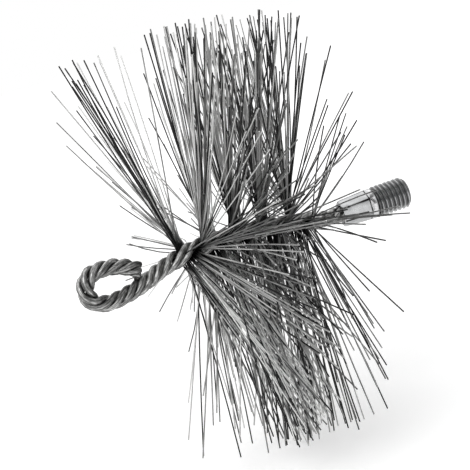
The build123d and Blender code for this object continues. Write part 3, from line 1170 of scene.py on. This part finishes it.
@dataclass
class BristleBundles:
    """Spring-wire bristles: one strand is modelled and laid on every place in the CAD bundles."""

    line: StemLine
    box: tuple
    box_margin: float = 0.3
    diameter: float = 0.51
    sides: int = 6
    companion_share: tuple = (0.6, 1.0, 1.0, 0.9, 0.8, 0.8, 0.9, 1.0, 1.0, 1.0)
    companion_shift: float = 0.5
    companion_spread: float = 9.0
    companion_reach: tuple = (0.94, 1.0)
    # Some bent over the front towards the ferrule, and some hanging below the neck
    strays: tuple = (
        StrayStrands(2, (8, 10), (30.0, 48.0), (-6.0, 24.0), (42.0, 62.0)),
        StrayStrands(4, (8, 9), (-30.0, -12.0), (-108.0, -72.0), (50.0, 74.0)),
    )
    stray_lift: float = 0.3
    # Rings of the modelled strand: its root at 0, its exit from the grip at 1, its tip last
    rings: tuple = (0.0, 0.5, 1.0, 1.25, 2.0, 3.0, 4.0, 5.0)
    root_share: float = 0.25
    longest_bow: float = 1.6
    fresh: float = 0.3
    tip_trim: float = 0.05
    # The solids' strands, as they are read: edges longer than this run along a strand
    long_edge: float = 40.0
    merge: float = 0.002
    least_corners: int = 8
    tree_steps: int = 400
    tree_reach: float = 1.05
    smooth_angle: float = 65.0
    seed: int = 16
    seeds_apart: int = 100
    bundles: int = 10
    stem_tree: KDTree = field(init=False)

    def build(self, finish: SpringSteelBristle) -> None:
        """Build and dress one bundle for each bristle node.

        Args:
            finish: the bristles' finish.
        """
        material = finish.make()
        strand = self.model_strand()
        end = self.line.last_bristle * self.tree_reach
        self.stem_tree = self.line.search_tree(end, self.tree_steps)
        for number in range(1, self.bundles + 1):
            # Each bundle has draws of its own, so that a change in one leaves the others
            draws = random.Random(self.seed * self.seeds_apart + number)
            node = "bristles_%02d" % number
            places = self.read_places(bpy.data.objects[node])
            places += self.companions(places, self.companion_share[number - 1], draws)
            places += self.stray_places(number, draws)
            bundle = self.lay_strands(number, strand, places, draws)
            finish_piece(bundle, material, [node])
        bpy.data.objects.remove(strand)

    def model_strand(self) -> Object:
        """Model one straight strand along +X, one unit from root to exit and four to its tip.

        Returns:
            The strand.
        """
        strand = add_rod("one_strand", self.sides, self.diameter / 2, self.rings[-1])
        with editing(strand):
            for spot in self.rings[1:-1]:
                bpy.ops.mesh.select_all(action="SELECT")
                bpy.ops.mesh.bisect(plane_co=(spot, 0, 0), plane_no=(1, 0, 0))
        return strand

    def read_places(self, node: Object) -> Places:
        """Read each strand's exit from the grip and its tip from a CAD bundle.

        Args:
            node: the CAD node of one bundle.

        Returns:
            The places of its strands, sorted.
        """
        mesh = bmesh.new()
        mesh.from_mesh(node.data)
        bmesh.ops.remove_doubles(mesh, verts=mesh.verts, dist=self.merge * MM)
        mesh.verts.ensure_lookup_table()
        group = list(range(len(mesh.verts)))

        def head(index: int) -> int:
            """Find the corner that stands for the strand of another corner.

            Args:
                index: the corner's number in the mesh.

            Returns:
                The number of the corner that stands for its strand.
            """
            while group[index] != index:
                index = group[index]
            return index

        for edge in mesh.edges:
            if edge.calc_length() > self.long_edge * MM:
                group[head(edge.verts[0].index)] = head(edge.verts[1].index)
        members: dict[int, list[Vector]] = {}
        for vertex in mesh.verts:
            members.setdefault(head(vertex.index), []).append(vertex.co / MM)
        mesh.free()
        places = []
        for points in members.values():
            if len(points) < self.least_corners:
                continue
            points.sort(key=lambda point: self.stem_tree.find(point)[2])
            half = len(points) // 2
            ends = [sum(part, Vector()) / half for part in (points[:half], points[half:])]
            inward = (ends[0] - ends[1]).normalized() * self.tip_trim
            places.append((ends[0], ends[1] + inward))
        places.sort(key=lambda place: (round(place[0].x, 3), round(place[0].z, 3)))
        return places

    def companions(self, places: Places, share: float, draws: random.Random) -> Places:
        """Places beside some strands, because the real bundles are fuller than the solids.

        Args:
            places: the places of a bundle's strands.
            share: the share of the strands that get one beside them.
            draws: the seeded source of the shifts.

        Returns:
            The places of the added strands.
        """
        added = []
        for exit_point, tip in places:
            if draws.random() > share:
                continue
            outward = exit_point - self.stem_tree.find(exit_point)[0]
            along = outward.cross(tip - exit_point).cross(outward)
            if along.length < TINY:
                continue
            shift = along.normalized() * draws.uniform(-self.companion_shift, self.companion_shift)
            spread = Vector([draws.gauss(0, self.companion_spread) for _ in range(3)])
            way = (tip + spread - exit_point).normalized()
            reach = (tip - exit_point).length * draws.uniform(*self.companion_reach)
            added.append((exit_point + shift, self.held_tip(exit_point + shift, way, reach)))
        return added

    def held_tip(self, exit_point: Vector, way: Vector, reach: float) -> Vector:
        """Tip of an added strand, cut short where it would leave the solids' box.

        Args:
            exit_point: where the strand leaves the grip.
            way: its direction.
            reach: its free length.

        Returns:
            The tip.
        """
        for axis in range(3):
            run = way[axis] * reach
            low = self.box[0][axis] / MM + self.box_margin - exit_point[axis]
            high = self.box[1][axis] / MM - self.box_margin - exit_point[axis]
            if not low <= run <= high:
                reach *= (high if run > high else low) / run
        return exit_point + way * reach

    def stray_places(self, number: int, draws: random.Random) -> Places:
        """Strands that stand out of one bundle, as a used brush has them.

        Args:
            number: the bundle's number.
            draws: the seeded source of the bends.

        Returns:
            The places of the stray strands.
        """
        slice_length = self.line.bristled_length / self.bundles
        lift = self.line.grip_radius + self.line.wire_diameter / 2 + self.stray_lift
        added = []
        for group in self.strays:
            if number not in group.bundles:
                continue
            for stray in range(group.count):
                share = number - 1 + (stray + 0.5) / group.count
                station = self.line.first_bristle + slice_length * share
                point, ahead, upper, side = self.line.at(station)
                lean = math.radians(draws.uniform(*group.lean))
                rise = math.radians(draws.uniform(*group.rise))
                outward = upper * math.sin(rise) - side * math.cos(rise)
                way = outward * math.cos(lean) - ahead * math.sin(lean)
                exit_point = point + outward * lift
                reach = draws.uniform(*group.reach)
                added.append((exit_point, self.held_tip(exit_point, way, reach)))
        return added

    def lay_strands(
        self, number: int, strand: Object, places: Places, draws: random.Random
    ) -> Object:
        """Copy the modelled strand onto every place of one bundle.

        Args:
            number: the bundle's number.
            strand: the modelled strand.
            places: the places of its strands.
            draws: the seeded source of each strand's bow and tone.

        Returns:
            The bundle, with its strand attribute.
        """
        # The strands next to the ferrule touch the flue least and keep more of their oxide
        worn = 1 - self.fresh * (self.bundles - number) / (self.bundles - 1)
        shape = [vertex.co.copy() for vertex in strand.data.vertices]
        faces = [tuple(polygon.vertices) for polygon in strand.data.polygons]
        spots: list[Vector] = []
        all_faces: list[tuple[int, ...]] = []
        marks: list[float] = []
        for exit_point, tip in places:
            base = len(spots)
            found = self.stem_tree.find(exit_point)
            root = found[0] + (exit_point - found[0]) * self.root_share
            way = (tip - exit_point).normalized()
            sideways = way.orthogonal().normalized()
            across = way.cross(sideways)
            turn = draws.uniform(0, 2 * math.pi)
            bow = abs(draws.gauss(0, self.longest_bow / 2))
            bow = (sideways * math.cos(turn) + across * math.sin(turn)) * min(bow, self.longest_bow)
            tone = draws.random() * worn
            reach = self.rings[-1] - 1
            for spot in shape:
                section = sideways * spot.y + across * spot.z
                if spot.x <= 1:
                    middle = root.lerp(exit_point, spot.x)
                    along = (spot.x - 1) * (exit_point - root).length
                else:
                    share = (spot.x - 1) / reach
                    middle = exit_point.lerp(tip, share) + bow * (4 * share * (1 - share))
                    along = share * (tip - exit_point).length
                spots.append((middle + section) * MM)
                marks += [along, tone, turn]
            all_faces += [tuple(base + corner for corner in face) for face in faces]
        mesh = bpy.data.meshes.new("bristle_bundle_%02d" % number)
        mesh.from_pydata(spots, [], all_faces)
        mesh.update()
        mark = mesh.attributes.new("strand", "FLOAT_VECTOR", "POINT")
        mark.data.foreach_set("vector", marks)
        bundle = add_object(mesh.name, mesh)
        with editing(bundle):
            bpy.ops.mesh.normals_make_consistent(inside=False)
        smooth_by_angle(bundle, self.smooth_angle)
        return bundle


@dataclass(frozen=True)
class SoftLamp:
    """Square area lamp that faces the brush, in metres and watts."""

    name: str
    place: tuple
    size: float
    power: float
    target: tuple = (-0.05, 0, 0)

    def add(self) -> None:
        """Hang the lamp in the scene."""
        data = bpy.data.lights.new(self.name, "AREA")
        data.shape, data.size, data.energy = "SQUARE", self.size, self.power
        lamp = add_object(self.name, data)
        lamp.location = self.place
        towards = Vector(self.target) - Vector(self.place)
        lamp.rotation_euler = towards.to_track_quat("-Z", "Y").to_euler()


@dataclass
class Studio:
    """Camera, soft lights and a plain pale floor."""

    azimuth: float = -13.0
    elevation: float = 10.0
    roll: float = 16.954
    distance: float = 593.0
    focal_pixels: float = 1625.0
    frame_pixels: float = 470.0
    sensor: float = 36.0
    look_at: tuple = (-56.353, -5.443, 6.775)
    floor_size: float = 6000.0
    floor_colour: str = "#F2F2F2"
    floor_roughness: float = 0.9
    # White paper behind the brush, a dim room behind the camera, for what metal reflects
    room_limits: tuple = (-0.45, 0.35)
    room_light: tuple = (0.16, 1.0)
    soft_light: tuple = (0.8, 1.0)
    # Paper white far off, plain pale floor with its shadow near the brush
    paper_limits: tuple = (0.25, 0.9)
    paper_glow: tuple = (0.3, 0.75)
    clip: tuple = (0.01, 20.0)
    lamps: tuple = (
        SoftLamp("key_lamp", (-0.55, -0.6, 0.8), 1.0, 9.0),
        SoftLamp("fill_lamp", (0.9, -0.5, 0.45), 0.9, 3.5),
        SoftLamp("top_lamp", (0.0, 0.45, 1.0), 1.2, 3.0),
    )

    def back(self) -> Vector:
        """Find the way from the brush to the camera.

        Returns:
            The direction, one unit long.
        """
        turn, rise = math.radians(self.azimuth), math.radians(self.elevation)
        return Vector(
            (math.sin(turn) * math.cos(rise), -math.cos(turn) * math.cos(rise), math.sin(rise))
        )

    def add_camera(self) -> None:
        """Place the camera as the photograph's stood, and make it the scene's."""
        turn, roll = math.radians(self.azimuth), math.radians(self.roll)
        back = self.back()
        level = Vector((math.cos(turn), math.sin(turn), 0))
        above = back.cross(level)
        right = level * math.cos(roll) - above * math.sin(roll)
        upward = level * math.sin(roll) + above * math.cos(roll)
        data = bpy.data.cameras.new("camera")
        data.sensor_width = self.sensor
        data.lens = self.focal_pixels / self.frame_pixels * self.sensor
        data.clip_start, data.clip_end = self.clip
        camera = add_object("camera", data)
        spin = Matrix((right, upward, back)).transposed().to_4x4()
        place = Vector(self.look_at) * MM + back * (self.distance * MM)
        camera.matrix_world = Matrix.Translation(place) @ spin
        bpy.context.scene.camera = camera

    def mirrored(self, tree: NodeTree, path: Node) -> Node:
        """Tell the rays that metal or glass sends on, by 1, from the others, by 0."""
        glossy, through = path.outputs["Is Glossy Ray"], path.outputs["Is Transmission Ray"]
        return add_node(tree, "Math", {"operation": "MAXIMUM", 0: glossy, 1: through})

    def add_world(self) -> None:
        """White background for the camera and for reflections, softer light for the rest."""
        world = bpy.data.worlds.new("studio")
        bpy.context.scene.world = world
        world.use_nodes = True
        tree = world.node_tree
        path = add_node(tree, "LightPath", {})
        coords = add_node(tree, "TexCoord", {}).outputs["Generated"]
        to_paper = {"operation": "DOT_PRODUCT", 0: coords, 1: -self.back()}
        facing = add_node(tree, "VectorMath", to_paper)
        fade = {"interpolation_type": "SMOOTHSTEP", "Value": facing}
        room = add_node(tree, "MapRange", fade | limits(self.room_limits, self.room_light))
        softness = limits((0.0, 1.0), self.soft_light)
        level = add_node(tree, "MapRange", softness | {"Value": self.mirrored(tree, path)})
        lit = add_node(tree, "Math", {"operation": "MULTIPLY", 0: room, 1: level})
        seen = {"operation": "MAXIMUM", 0: lit, 1: path.outputs["Is Camera Ray"]}
        white = {"Color": (1, 1, 1, 1), "Strength": add_node(tree, "Math", seen)}
        fill_node(tree, tree.nodes["Background"], white)

    def add_floor(self, height: float) -> None:
        """Lay a plain pale floor under the brush.

        Args:
            height: the brush's lowest point, in metres.
        """
        deselect()
        bpy.ops.mesh.primitive_plane_add(size=self.floor_size * MM, location=(0, 0, height))
        floor = bpy.context.object
        floor.name = "studio_floor"
        settle(floor)
        material, tree, shader = blank_material("pale_floor")
        path = add_node(tree, "LightPath", {})
        rays = {0: self.mirrored(tree, path), 1: path.outputs["Is Camera Ray"]}
        seen = add_node(tree, "Math", rays | {"operation": "MAXIMUM"})
        coords = add_node(tree, "TexCoord", {}).outputs["Object"]
        away = add_node(tree, "VectorMath", {"operation": "LENGTH", 0: coords})
        whitening = limits(self.paper_limits, self.paper_glow)
        paper = add_node(tree, "MapRange", whitening | {"Value": away})
        glow = add_node(tree, "Math", {"operation": "MULTIPLY", 0: seen, 1: paper})
        white = {"Emission Color": (1, 1, 1, 1), "Emission Strength": glow}
        matt = {"Roughness": self.floor_roughness, "Specular IOR Level": 0.0}
        fill_node(tree, shader, matt | white | {"Base Color": self.floor_colour})
        floor.data.materials.append(material)
        floor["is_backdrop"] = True

    def build(self, height: float) -> None:
        """Set up camera, world, floor and lamps.

        Args:
            height: the brush's lowest point, in metres.
        """
        self.add_camera()
        self.add_world()
        self.add_floor(height)
        for lamp in self.lamps:
            lamp.add()
        bpy.context.scene.view_settings.view_transform = "Standard"


def main() -> None:
    """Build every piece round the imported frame, in order."""
    logging.basicConfig(level=logging.INFO, format="%(name)s: %(message)s")
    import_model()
    cad_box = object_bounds()
    Studio().build(cad_box[0].z)
    line = StemLine()
    StemWires(line).build(DrawnSteelWire())
    ThreadedFerrule().build(ZincPlate())
    EyeTackWeld().build(WeldBead())
    BristleBundles(line, cad_box).build(SpringSteelBristle())
    deselect()


if __name__ == "__main__":
    main()
